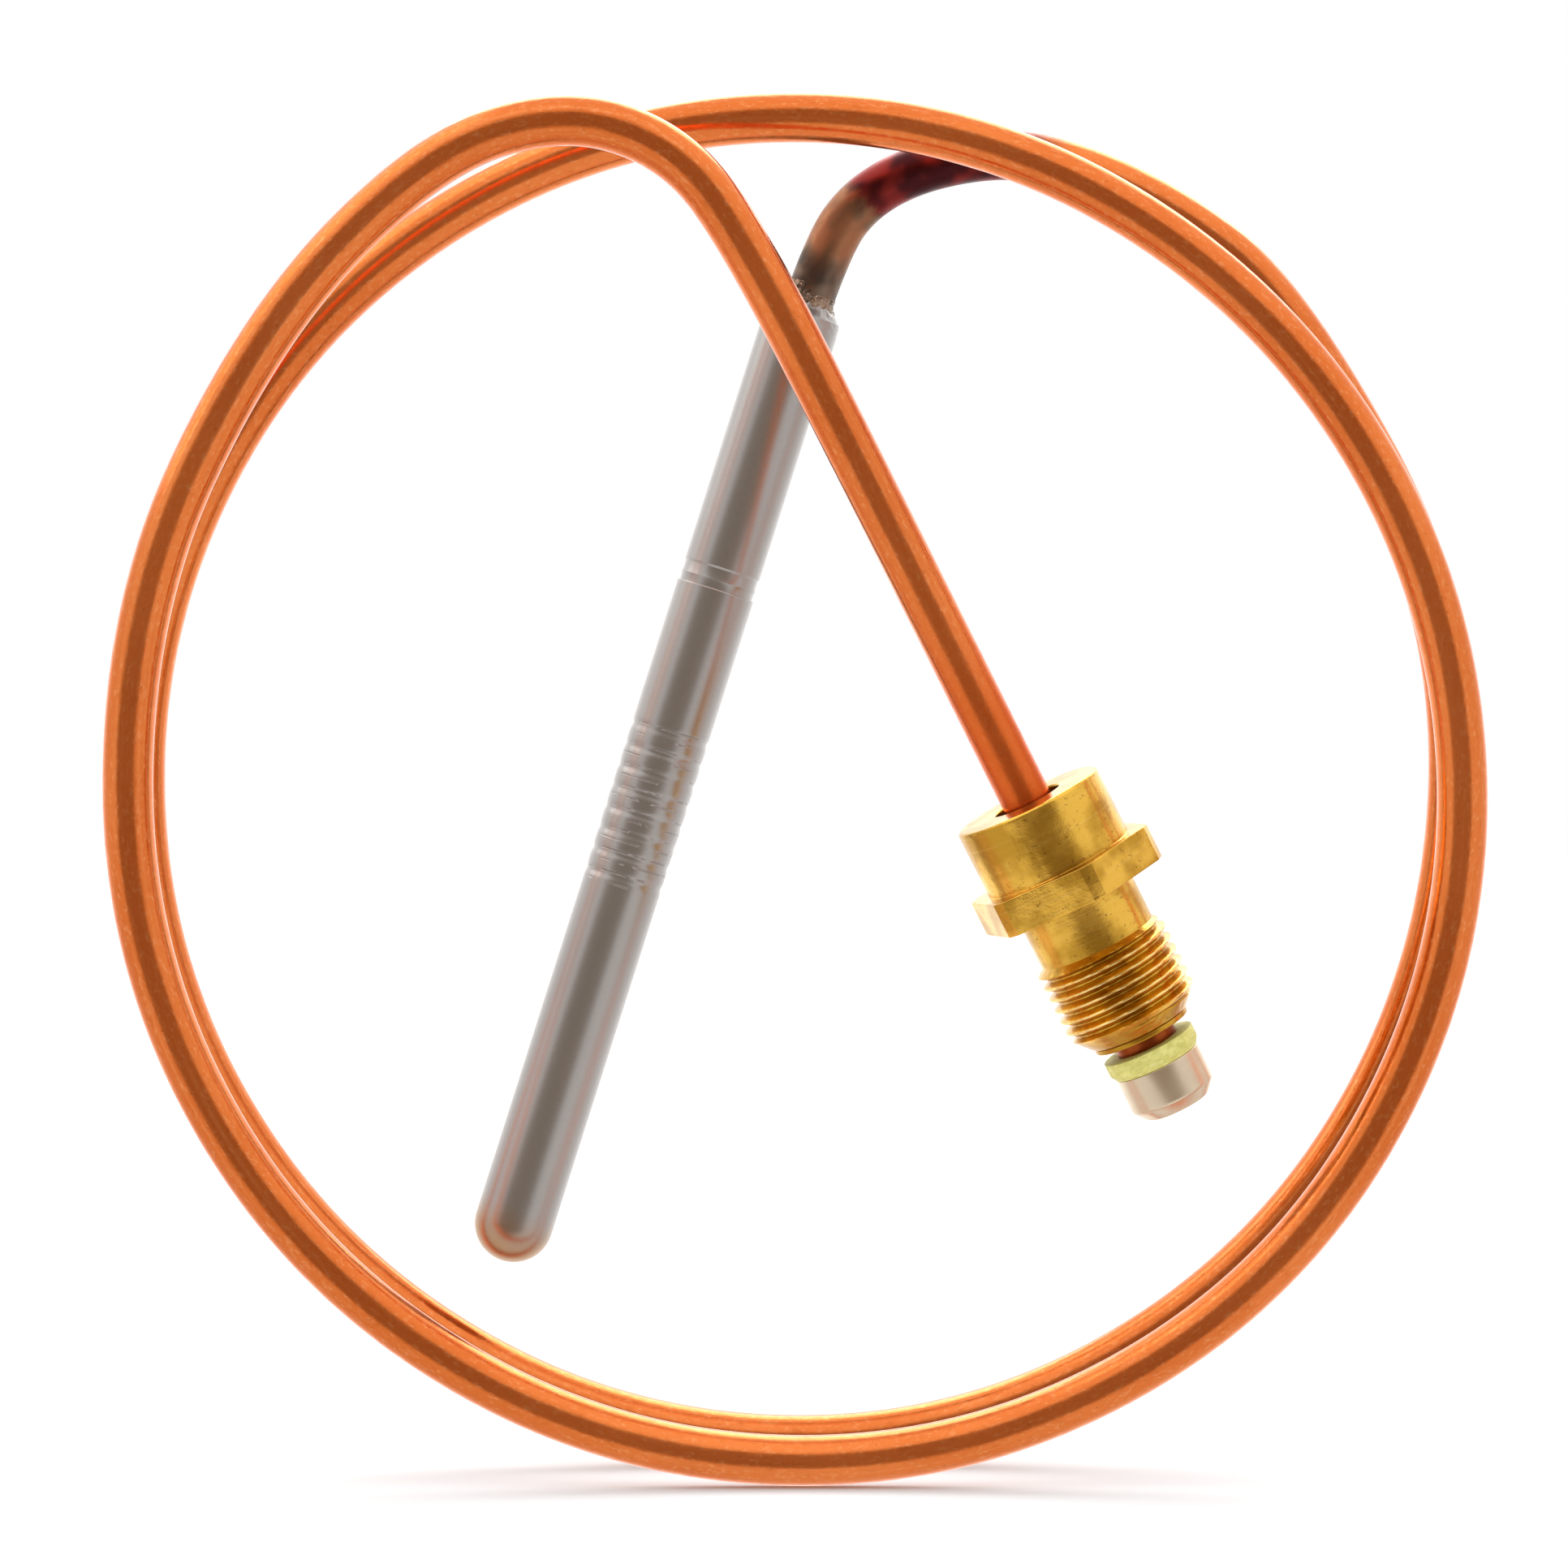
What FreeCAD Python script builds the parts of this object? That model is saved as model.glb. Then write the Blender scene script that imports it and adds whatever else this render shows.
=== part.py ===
import FreeCAD, Part
import math
import os
import Sketcher
from FreeCAD import Placement, Rotation, Vector

# Gas-burner thermocouple: a stainless probe, a soft-copper lead bent into two upright turns,
# and a screwed valve connection. Millimetres and degrees, +Z up, the lead resting on z = 0.
# Origin: the middle of the part's footprint. X runs to the right along the loop, Y runs back.

SIZES = {
    # lead: copper tube, glass-fibre braid inside it, copper wire inside the braid
    "lead_outer": 3.175,
    "lead_bore": 2.2,
    "braid_outer": 2.1,
    "braid_bore": 1.0,
    "wire_outer": 0.9,
    # probe, heights measured from its round tip
    "probe_height": 65.0,
    "sheath_outer": 5.1,
    "sheath_bore": 3.9,
    "sheath_height": 45.6,
    "sheath_nose": 2.0,
    "tip_round": 2.5,
    "roll_first": 26.0,
    "roll_pitch": 1.4,
    "roll_count": 8,
    "roll_depth": 0.12,
    "roll_width": 0.5,
    "shell_outer": 5.0,
    "shell_bore": 4.0,
    "shell_floor": 47.0,
    "shell_roof": 60.0,
    "shell_chamfer": 0.45,
    "swage_outer": 4.84,
    "spigot_outer": 3.86,
    "spigot_bore": 2.7,
    "spigot_start": 43.4,
    "socket_bore": 3.2,
    "rod_outer": 1.8,
    "rod_start": 3.4,
    "rod_end": 50.0,
    "bead_outer": 3.8,
    "bead_bore": 1.9,
    "bead_start": 4.0,
    "bead_height": 13.0,
    "bead_gap": 0.1,
    "ferrule_outer": 2.6,
    "ferrule_start": 48.5,
    "ferrule_end": 54.5,
    "sleeve_outer": 3.9,
    "sleeve_bore": 2.7,
    "sleeve_start": 47.2,
    "sleeve_end": 56.0,
    "cement_bore": 2.2,
    "cement_end": 59.9,
    "braze_outer": 4.1,
    "braze_height": 1.3,
    # connection, distances measured from the nut's entry face towards the contact
    "nut_bore": 4.45,
    "boss_outer": 9.65,
    "boss_end": 4.5,
    "hex_flats": 11.11,
    "hex_corners": 12.35,
    "hex_end": 6.8,
    "hex_turn": 14.5,
    "neck_outer": 7.7,
    "neck_end": 10.05,
    "thread_outer": 8.73,
    "thread_end": 14.9,
    "thread_pitch": 0.794,
    "thread_depth": 0.487,
    "nose_outer": 6.6,
    "nut_end": 16.1,
    "edge_break": 0.15,
    "ring_start": 16.15,
    "ring_end": 16.5,
    "ring_bore": 4.4,
    "ring_outer": 6.4,
    "cap_start": 12.0,
    "cap_floor": 17.0,
    "cap_end": 17.3,
    "cap_outer": 4.1,
    "cap_hole": 2.3,
    "washer_outer": 6.1,
    "washer_step": 18.15,
    "washer_end": 18.56,
    "contact_outer": 5.6,
    "contact_bevel": 20.9,
    "contact_end": 21.73,
    "contact_face": 4.2,
    "contact_bore": 1.0,
    "solder_outer": 2.0,
    "solder_depth": 0.5,
}

# Where the loop's centre stands. Every other place is measured from it.
LOOP_CENTRE = Vector(-0.268, 0.03, 43.713)
PROBE_TIP = Vector(-18.9, 7.0, -30.45)
PROBE_AXIS = Vector(0.3036, 0, 0.9528)
NUT_ENTRY = Vector(14.6, -4.0, -0.6)
LAST_BEND = Vector(3.8, -6.6, 20.9)

# The lead's route from the probe: bends by hand at both ends, and between them two turns of the
# loop as clock angle (0 is the top, clockwise from the front), radius and depth.
PROBE_BENDS = [
    Vector(1.9, 7.0, 34.85),
    Vector(4.5, 7.0, 38.6),
    Vector(9.3, 7.0, 40.8),
    Vector(15.8, 7.1, 41.4),
    Vector(24.0, 7.2, 38.1),
]
TURNS = [
    (45, 45.2, 7.3),
    (75, 44.7, 7.5),
    (105, 43.8, 7.5),
    (135, 43.7, 7.5),
    (165, 43.7, 7.5),
    (195, 43.5, 7.5),
    (225, 43.4, 7.3),
    (255, 43.6, 6.9),
    (285, 43.9, 6.1),
    (315, 44.4, 4.8),
    (345, 44.6, 2.8),
    (375, 44.3, 0.2),
    (405, 43.5, -2.0),
    (435, 43.4, -3.3),
    (465, 43.6, -3.9),
    (495, 43.9, -4.0),
    (525, 43.7, -4.0),
    (555, 43.4, -4.0),
    (585, 43.2, -4.1),
    (615, 43.2, -4.3),
    (645, 43.3, -4.8),
    (671, 44.2, -5.5),
]
CONNECTION_BENDS = [
    Vector(-22.8, -6.0, 39.8),
    Vector(-14.2, -6.5, 42.4),
    Vector(-7.2, -6.9, 40.0),
    Vector(-2.9, -6.9, 34.0),
    LAST_BEND,
]
ARC_SHARE = 0.45  # of the shorter of two runs, taken up by the arc that joins them

PROBE_AXIS.normalize()
NUT_AXIS = NUT_ENTRY - LAST_BEND
NUT_AXIS.normalize()
PROBE_PLACE = Placement(LOOP_CENTRE + PROBE_TIP, Rotation(Vector(0, 0, 1), PROBE_AXIS))
NUT_PLACE = Placement(LOOP_CENTRE + NUT_ENTRY, Rotation(Vector(0, 0, 1), NUT_AXIS))

doc = FreeCAD.newDocument("Thermocouple")
sheet = doc.addObject("Spreadsheet::Sheet", "Sizes")
for row, (alias, size) in enumerate(SIZES.items(), start=1):
    sheet.set(f"A{row}", alias)
    sheet.set(f"B{row}", str(size))
    sheet.setAlias(f"B{row}", alias)
doc.recompute()

parts = []


def bound(text):
    """An expression in size names, as the document reads it: each name is a cell of the sheet."""
    words = text.split()
    return " ".join(f"Sizes.{word}" if word in SIZES else word for word in words)


def size(text):
    return float(sheet.evalExpression(bound(text)))


def origin_plane(body, role):
    return next(f for f in body.Origin.OriginFeatures if f.Role == role)


def new_body(label, placement):
    body = doc.addObject("PartDesign::Body", label)
    body.Label = label
    body.Placement = placement
    parts.append(body)
    return body


def new_sketch(body, role, name):
    sketch = body.newObject("Sketcher::SketchObject", name)
    sketch.AttachmentSupport = (origin_plane(body, role), [""])
    sketch.MapMode = "FlatFace"
    return sketch


def pin_corner(sketch, line, kind, text):
    """Hold the start of a line at a distance from the sketch's origin, along X or along Y."""
    if text == "0":
        axis = -2 if kind == "DistanceX" else -1
        sketch.addConstraint(Sketcher.Constraint("PointOnObject", line, 1, axis))
        return
    at = sketch.addConstraint(Sketcher.Constraint(kind, -1, 1, line, 1, size(text)))
    sketch.setExpression(f"Constraints[{at}]", bound(text))


def draw_outline(sketch, outline):
    """A closed outline whose corners are pairs of expressions."""
    corners = [Vector(size(across), size(up), 0) for across, up in outline]
    for start, end in zip(corners, corners[1:] + corners[:1]):
        sketch.addGeometry(Part.LineSegment(start, end), False)
    for line, (across, up) in enumerate(outline):
        following = (line + 1) % len(outline)
        sketch.addConstraint(Sketcher.Constraint("Coincident", line, 2, following, 1))
        pin_corner(sketch, line, "DistanceX", across)
        pin_corner(sketch, line, "DistanceY", up)


def turned(label, placement, outline):
    """A lathe-turned body: an outline of (radius, height) corners, revolved about its own Z."""
    body = new_body(label, placement)
    sketch = new_sketch(body, "XZ_Plane", label + "_outline")
    draw_outline(sketch, outline)
    revolution = body.newObject("PartDesign::Revolution", label + "_revolution")
    revolution.Profile = sketch
    revolution.ReferenceAxis = (sketch, ["V_Axis"])
    revolution.Angle = 360
    doc.recompute()
    return body


def sleeve(label, placement, outer, bore, start, end):
    """A plain tube between two heights."""
    corners = [(bore, start), (outer, start), (outer, end), (bore, end)]
    return turned(label, placement, [(f"{across} / 2", up) for across, up in corners])


def ring_edges(shape, radius, height):
    """Names of the circular edges of one radius at one height of a body's own frame."""
    names = []
    for number, edge in enumerate(shape.Edges, start=1):
        curve = edge.Curve
        if not isinstance(curve, Part.Circle):
            continue
        if abs(curve.Radius - radius) < 1e-4 and abs(curve.Center.z - height) < 1e-4:
            names.append(f"Edge{number}")
    return names


def round_edge(body, radius, height, rounding):
    """Fillet one circular edge, found by its radius and height."""
    base = body.Tip
    fillet = body.newObject("PartDesign::Fillet", body.Label + "_round")
    fillet.Base = (base, ring_edges(base.Shape, radius, height))
    fillet.setExpression("Radius", bound(rounding))
    doc.recompute()


def hot_sheath():
    """Deep-drawn stainless cup: round closed tip, plain bore, and a zone of rolled-in rings."""
    body = turned(
        "hot_sheath",
        PROBE_PLACE,
        [
            ("0", "0"),
            ("sheath_outer / 2", "0"),
            ("sheath_outer / 2", "sheath_height"),
            ("sheath_bore / 2", "sheath_height"),
            ("sheath_bore / 2", "sheath_nose"),
            ("0", "sheath_nose"),
        ],
    )
    round_edge(body, size("sheath_outer / 2"), 0, "tip_round")
    sketch = new_sketch(body, "XZ_Plane", "roll_outline")
    draw_outline(
        sketch,
        [
            ("sheath_outer / 2 - roll_depth", "roll_first"),
            ("sheath_outer / 2 + roll_depth", "roll_first - roll_width"),
            ("sheath_outer / 2 + roll_depth", "roll_first + roll_width"),
        ],
    )
    groove = body.newObject("PartDesign::Groove", "roll_groove")
    groove.Profile = sketch
    groove.ReferenceAxis = (sketch, ["V_Axis"])
    groove.Angle = 360
    doc.recompute()
    rolls = body.newObject("PartDesign::LinearPattern", "rolls")
    rolls.Originals = [groove]
    rolls.Direction = (sketch, ["V_Axis"])
    rolls.setExpression("Length", bound("roll_pitch * ( roll_count - 1 )"))
    rolls.setExpression("Occurrences", bound("roll_count"))
    body.Tip = rolls
    doc.recompute()


def cold_shell():
    """Stainless rear half of the probe: a spigot in the sheath, a swaged neck, and a socket."""
    turned(
        "cold_shell",
        PROBE_PLACE,
        [
            ("spigot_bore / 2", "spigot_start"),
            ("spigot_outer / 2", "spigot_start"),
            ("spigot_outer / 2", "sheath_height"),
            ("swage_outer / 2", "sheath_height"),
            ("swage_outer / 2", "shell_floor - 0.1"),
            ("shell_outer / 2", "shell_floor"),
            ("shell_outer / 2", "probe_height - shell_chamfer"),
            ("shell_outer / 2 - shell_chamfer", "probe_height"),
            ("socket_bore / 2", "probe_height"),
            ("socket_bore / 2", "shell_roof"),
            ("shell_bore / 2", "shell_roof"),
            ("shell_bore / 2", "shell_floor"),
            ("spigot_bore / 2", "shell_floor"),
        ],
    )


def probe_inside():
    """What the probe holds: the junction, its rod and beads, and the joint to the lead's wire."""
    turned(
        "hot_junction",
        PROBE_PLACE,
        [
            ("0", "sheath_nose"),
            ("bead_outer / 2", "sheath_nose"),
            ("bead_outer / 2", "sheath_nose + 0.6"),
            ("rod_outer / 2", "rod_start"),
            ("0", "rod_start"),
        ],
    )
    turned(
        "thermo_rod",
        PROBE_PLACE,
        [
            ("0", "rod_start"),
            ("rod_outer / 2", "rod_start"),
            ("rod_outer / 2", "rod_end"),
            ("0", "rod_end"),
        ],
    )
    for count, place in enumerate(("front", "middle", "rear")):
        start = f"bead_start + {count} * ( bead_height + bead_gap )"
        end = f"{start} + bead_height"
        sleeve(f"{place}_insulator", PROBE_PLACE, "bead_outer", "bead_bore", start, end)
    turned(
        "cold_ferrule",
        PROBE_PLACE,
        [
            ("rod_outer / 2 + 0.02", "ferrule_start"),
            ("ferrule_outer / 2", "ferrule_start"),
            ("ferrule_outer / 2", "ferrule_end"),
            ("wire_outer / 2 + 0.02", "ferrule_end"),
            ("wire_outer / 2 + 0.02", "rod_end + 0.05"),
            ("rod_outer / 2 + 0.02", "rod_end + 0.05"),
        ],
    )
    sleeve("cold_sleeve", PROBE_PLACE, "sleeve_outer", "sleeve_bore", "sleeve_start", "sleeve_end")
    sleeve("cement_plug", PROBE_PLACE, "sleeve_outer", "cement_bore", "sleeve_end", "cement_end")


def root_braze():
    """Braze fillet where the lead enters the probe."""
    turned(
        "root_braze",
        PROBE_PLACE,
        [
            ("socket_bore / 2", "probe_height"),
            ("braze_outer / 2", "probe_height"),
            ("braze_outer / 2 - 0.2", "probe_height + braze_height / 3"),
            ("socket_bore / 2 + 0.06", "probe_height + braze_height"),
            ("socket_bore / 2", "probe_height + braze_height"),
        ],
    )


def mill_flats(body):
    """Mill the flange's six flats, and leave the turned corners."""
    sketch = new_sketch(body, "XY_Plane", "flat_outline")
    sketch.setExpression("AttachmentOffset.Base.z", bound("boss_end"))
    draw_outline(
        sketch,
        [
            ("hex_flats / 2", "-1 * hex_corners"),
            ("hex_corners", "-1 * hex_corners"),
            ("hex_corners", "hex_corners"),
            ("hex_flats / 2", "hex_corners"),
        ],
    )
    flat = body.newObject("PartDesign::Pocket", "flat")
    flat.Profile = sketch
    flat.Reversed = True
    flat.setExpression("Length", bound("hex_end - boss_end"))
    doc.recompute()
    flats = body.newObject("PartDesign::PolarPattern", "flats")
    flats.Originals = [flat]
    flats.Axis = (sketch, ["N_Axis"])
    flats.Angle = 360
    flats.Occurrences = 6
    body.Tip = flats
    doc.recompute()


def cut_thread(body):
    """Right-hand V thread from the neck to the nose."""
    sketch = new_sketch(body, "XZ_Plane", "thread_outline")
    draw_outline(
        sketch,
        [
            ("thread_outer / 2 - thread_depth", "neck_end"),
            ("thread_outer / 2 + thread_depth / 2", "neck_end - thread_pitch * 0.7"),
            ("thread_outer / 2 + thread_depth / 2", "neck_end + thread_pitch * 0.7"),
        ],
    )
    helix = body.newObject("PartDesign::SubtractiveHelix", "thread")
    helix.Profile = sketch
    helix.ReferenceAxis = (sketch, ["V_Axis"])
    helix.Mode = 0
    helix.setExpression("Pitch", bound("thread_pitch"))
    helix.setExpression("Height", bound("thread_end - neck_end"))
    doc.recompute()


def connector_nut():
    """Brass nut: round boss, thin hexagon, plain neck, valve thread and coned nose."""
    place = NUT_PLACE.multiply(Placement(Vector(), Rotation(Vector(0, 0, 1), size("hex_turn"))))
    body = turned(
        "connector_nut",
        place,
        [
            ("nut_bore / 2", "0"),
            ("boss_outer / 2 - edge_break", "0"),
            ("boss_outer / 2", "edge_break"),
            ("boss_outer / 2", "boss_end"),
            ("hex_corners / 2", "boss_end"),
            ("hex_corners / 2", "hex_end"),
            ("neck_outer / 2", "hex_end"),
            ("neck_outer / 2", "neck_end"),
            ("thread_outer / 2", "neck_end"),
            ("thread_outer / 2", "thread_end"),
            ("nose_outer / 2", "nut_end"),
            ("nut_bore / 2", "nut_end"),
        ],
    )
    mill_flats(body)
    cut_thread(body)


def connection_end():
    """What the nut presses home: slip ring, copper end cap, insulating washer and contact."""
    sleeve("slip_ring", NUT_PLACE, "ring_outer", "ring_bore", "ring_start", "ring_end")
    turned(
        "end_cap",
        NUT_PLACE,
        [
            ("lead_outer / 2 + 0.01", "cap_start"),
            ("cap_outer / 2", "cap_start"),
            ("cap_outer / 2", "cap_end"),
            ("cap_hole / 2", "cap_end"),
            ("cap_hole / 2", "cap_floor"),
            ("lead_outer / 2 + 0.01", "cap_floor"),
        ],
    )
    turned(
        "insulating_washer",
        NUT_PLACE,
        [
            ("cap_hole / 2", "cap_end"),
            ("washer_outer / 2", "cap_end"),
            ("washer_outer / 2", "washer_step"),
            ("contact_outer / 2", "washer_end"),
            ("cap_hole / 2", "washer_end"),
        ],
    )
    turned(
        "contact_tip",
        NUT_PLACE,
        [
            ("contact_bore / 2", "washer_end"),
            ("contact_outer / 2", "washer_end"),
            ("contact_outer / 2", "contact_bevel"),
            ("contact_face / 2", "contact_end"),
            ("solder_outer / 2", "contact_end"),
            ("contact_bore / 2", "contact_end - solder_depth"),
        ],
    )
    turned(
        "contact_solder",
        NUT_PLACE,
        [
            ("0", "contact_end - solder_depth"),
            ("contact_bore / 2", "contact_end - solder_depth"),
            ("solder_outer / 2", "contact_end"),
            ("0", "contact_end"),
        ],
    )


def loop_point(clock, radius, depth):
    angle = math.radians(clock)
    return Vector(radius * math.sin(angle), depth, radius * math.cos(angle))


def lead_points(from_tip, from_entry):
    """The route from a height in the probe to a distance along the nut's axis."""
    start = PROBE_TIP + PROBE_AXIS * from_tip
    end = NUT_ENTRY + NUT_AXIS * from_entry
    turns = [loop_point(*turn) for turn in TURNS]
    route = [start, *PROBE_BENDS, *turns, *CONNECTION_BENDS, end]
    return [LOOP_CENTRE + point for point in route]


def bend(before, point, after):
    """The tangent arc at a point of the route: (start, middle, end, radius, turn in degrees)."""
    back = before - point
    ahead = after - point
    reach = ARC_SHARE * min(back.Length, ahead.Length)
    turn = math.pi - back.getAngle(ahead)
    radius = reach / math.tan(turn / 2)
    back.normalize()
    ahead.normalize()
    inward = back + ahead
    inward.normalize()
    sagitta = radius / math.cos(turn / 2) - radius
    start = point + back * reach
    return start, point + inward * sagitta, point + ahead * reach, radius, math.degrees(turn)


def route_wire(points):
    """Straight runs joined by tangent arcs."""
    edges = []
    at = points[0]
    for before, point, after in zip(points, points[1:], points[2:]):
        start, middle, end, _, _ = bend(before, point, after)
        edges.append(Part.LineSegment(at, start).toShape())
        edges.append(Part.Arc(start, middle, end).toShape())
        at = end
    edges.append(Part.LineSegment(at, points[-1]).toShape())
    return Part.Wire(edges)


def swept(label, spine, diameter):
    """A round section carried along a route."""
    points = spine.Shape.OrderedVertexes
    first_run = points[1].Point - points[0].Point
    circle = doc.addObject("Part::Circle", label + "_section")
    circle.setExpression("Radius", bound(f"{diameter} / 2"))
    circle.Placement = Placement(points[0].Point, Rotation(Vector(0, 0, 1), first_run))
    sweep = doc.addObject("Part::Sweep", label)
    sweep.Sections = [circle]
    sweep.Spine = (spine, [f"Edge{count + 1}" for count in range(len(spine.Shape.Edges))])
    sweep.Solid = True
    sweep.Frenet = False
    doc.recompute()
    return sweep


def lead_layer(label, outer, bore, from_tip, from_entry):
    """One layer of the lead, hollow where it has a bore. Its volume is held against its length."""
    points = lead_points(size(from_tip), size(from_entry))
    spine = doc.addObject("Part::Feature", label + "_route")
    spine.Shape = route_wire(points)
    layer = swept(label + "_outside", spine, outer)
    section = math.pi * size(f"{outer} / 2") ** 2
    if bore:
        hole = swept(label + "_inside", spine, bore)
        solid = layer
        layer = doc.addObject("Part::Cut", label)
        layer.Base = solid
        layer.Tool = hole
        section -= math.pi * size(f"{bore} / 2") ** 2
    layer.Label = label
    doc.recompute()
    parts.append(layer)
    length = spine.Shape.Length
    share = layer.Shape.Volume / (section * length)
    print(f"{label}: length {length:.1f}, volume over section times length {share:.4f}")
    return points


def lead():
    lead_layer("lead_wire", "wire_outer", "", "rod_end + 0.1", "contact_end - solder_depth")
    lead_layer("lead_braid", "braid_outer", "braid_bore", "cement_end - 3", "washer_end - 0.06")
    points = lead_layer("lead_tube", "lead_outer", "lead_bore", "shell_roof + 0.5", "cap_floor")
    for number, (before, point, after) in enumerate(zip(points, points[1:], points[2:]), start=1):
        _, _, _, radius, turn = bend(before, point, after)
        run = (point - before).Length
        print(f"bend {number}: run {run:.1f}, turn {turn:.1f} degrees, radius {radius:.1f}")


def check():
    """Stop on any object that failed, and on any part that isn't one sound solid."""
    for item in doc.Objects:
        if "Invalid" in item.State or "Error" in item.State:
            raise RuntimeError(f"{item.Name} failed: {item.State}")
    for part in parts:
        shape = part.Shape
        if shape.isNull() or not shape.isValid():
            raise RuntimeError(f"{part.Label} is not a valid shape")
        if len(shape.Solids) != 1:
            raise RuntimeError(f"{part.Label} is {len(shape.Solids)} solids")


def export():
    os.makedirs("parts", exist_ok=True)
    box = FreeCAD.BoundBox()
    for part in parts:
        box.add(part.Shape.optimalBoundingBox(True, False))
        part.Shape.exportStep(f"parts/{part.Label}.step")
    print(f"{len(parts)} parts; x {box.XMin:.3f} to {box.XMax:.3f}")
    print(f"y {box.YMin:.3f} to {box.YMax:.3f}; z {box.ZMin:.3f} to {box.ZMax:.3f}")


hot_sheath()
cold_shell()
probe_inside()
root_braze()
connector_nut()
connection_end()
lead()
doc.recompute()
check()
export()
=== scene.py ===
import math

import bmesh
import bpy
from mathutils import Matrix, Vector, noise


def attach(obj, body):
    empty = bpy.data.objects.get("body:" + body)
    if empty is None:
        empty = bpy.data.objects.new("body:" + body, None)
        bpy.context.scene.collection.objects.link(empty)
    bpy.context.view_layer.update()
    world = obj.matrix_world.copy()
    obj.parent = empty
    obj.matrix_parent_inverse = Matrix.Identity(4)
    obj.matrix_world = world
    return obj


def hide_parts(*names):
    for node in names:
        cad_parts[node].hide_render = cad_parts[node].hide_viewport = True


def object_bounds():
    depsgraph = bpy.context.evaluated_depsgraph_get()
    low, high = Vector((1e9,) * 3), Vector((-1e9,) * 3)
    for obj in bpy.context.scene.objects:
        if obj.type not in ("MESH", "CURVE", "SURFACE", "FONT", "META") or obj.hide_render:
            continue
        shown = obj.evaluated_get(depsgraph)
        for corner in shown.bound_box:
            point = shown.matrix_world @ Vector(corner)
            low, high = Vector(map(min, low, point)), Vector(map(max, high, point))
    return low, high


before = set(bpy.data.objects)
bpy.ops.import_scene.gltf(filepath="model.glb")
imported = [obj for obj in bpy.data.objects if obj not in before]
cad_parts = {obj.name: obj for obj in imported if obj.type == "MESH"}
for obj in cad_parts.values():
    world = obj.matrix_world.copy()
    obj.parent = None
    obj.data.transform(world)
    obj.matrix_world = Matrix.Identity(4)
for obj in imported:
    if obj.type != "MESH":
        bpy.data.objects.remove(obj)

# The looks of a gas-burner thermocouple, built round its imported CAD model. Metres, +Z up: the
# loop stands on the floor, and its front, where the nut hangs, faces -Y.

CAD_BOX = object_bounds()
CAD_CENTRE = (CAD_BOX[0] + CAD_BOX[1]) / 2
MM = 0.001

# The lead's route, as the CAD has it: bends at both ends, and between them two turns of the loop
# as clock angle (0 is the top, clockwise from the front), radius and depth.
LOOP_CENTRE = Vector((-0.000268, 0.00003, 0.043713))
PROBE_TIP = Vector((-0.0189, 0.0070, -0.03045))
PROBE_AXIS = Vector((0.3036, 0, 0.9528)).normalized()
NUT_ENTRY = Vector((0.0146, -0.0040, -0.0006))
LAST_BEND = Vector((0.0038, -0.0066, 0.0209))
NUT_AXIS = (NUT_ENTRY - LAST_BEND).normalized()
PROBE_BENDS = [
    Vector((0.0019, 0.0070, 0.03485)),
    Vector((0.0045, 0.0070, 0.0386)),
    Vector((0.0093, 0.0070, 0.0408)),
    Vector((0.0158, 0.0071, 0.0414)),
    Vector((0.0240, 0.0072, 0.0381)),
]
TURNS = [
    (45, 0.0452, 0.0073),
    (75, 0.0447, 0.0075),
    (105, 0.0438, 0.0075),
    (135, 0.0437, 0.0075),
    (165, 0.0437, 0.0075),
    (195, 0.0435, 0.0075),
    (225, 0.0434, 0.0073),
    (255, 0.0436, 0.0069),
    (285, 0.0439, 0.0061),
    (315, 0.0444, 0.0048),
    (345, 0.0446, 0.0028),
    (375, 0.0443, 0.0002),
    (405, 0.0435, -0.0020),
    (435, 0.0434, -0.0033),
    (465, 0.0436, -0.0039),
    (495, 0.0439, -0.0040),
    (525, 0.0437, -0.0040),
    (555, 0.0434, -0.0040),
    (585, 0.0432, -0.0041),
    (615, 0.0432, -0.0043),
    (645, 0.0433, -0.0048),
    (671, 0.0442, -0.0055),
]
CONNECTION_BENDS = [
    Vector((-0.0228, -0.0060, 0.0398)),
    Vector((-0.0142, -0.0065, 0.0424)),
    Vector((-0.0072, -0.0069, 0.0400)),
    Vector((-0.0029, -0.0069, 0.0340)),
    LAST_BEND,
]
POINTS_PER_RUN = 24

# Lead: diameters, and where each layer starts (from the probe's tip) and ends (from the nut's
# entry face).
LEAD_OUTER = 3.175 * MM
LEAD_BORE = 2.2 * MM
LEAD_START = 60.5 * MM
LEAD_END = 17.0 * MM
BRAID_OUTER = 2.1 * MM
BRAID_BORE = 1.0 * MM
BRAID_START = 56.9 * MM
BRAID_END = 18.5 * MM
WIRE_OUTER = 0.9 * MM
WIRE_START = 50.1 * MM
WIRE_END = 21.23 * MM
LEAD_LENGTH = 600 * MM
LEAD_SIDES = 36
BRAID_SIDES = 16
WIRE_SIDES = 12

# The lead's finish: where each heat tint fades out, and where the metal is worked and painted darker
# as the nut's shade, as distances along it from the probe.
GREY_FADES = (6.0 * MM, 8.5 * MM)
BROWN_FADES = (11.2 * MM, 12.8 * MM)
RED_FADES = (21.5 * MM, 27.0 * MM)
DULL_FADES = (21.5 * MM, 29.0 * MM)
TINT_WANDER = 4 * MM
WORKED_AND_SHADED_ZONE = (LEAD_LENGTH - 34 * MM, LEAD_LENGTH - 19 * MM)

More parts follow.
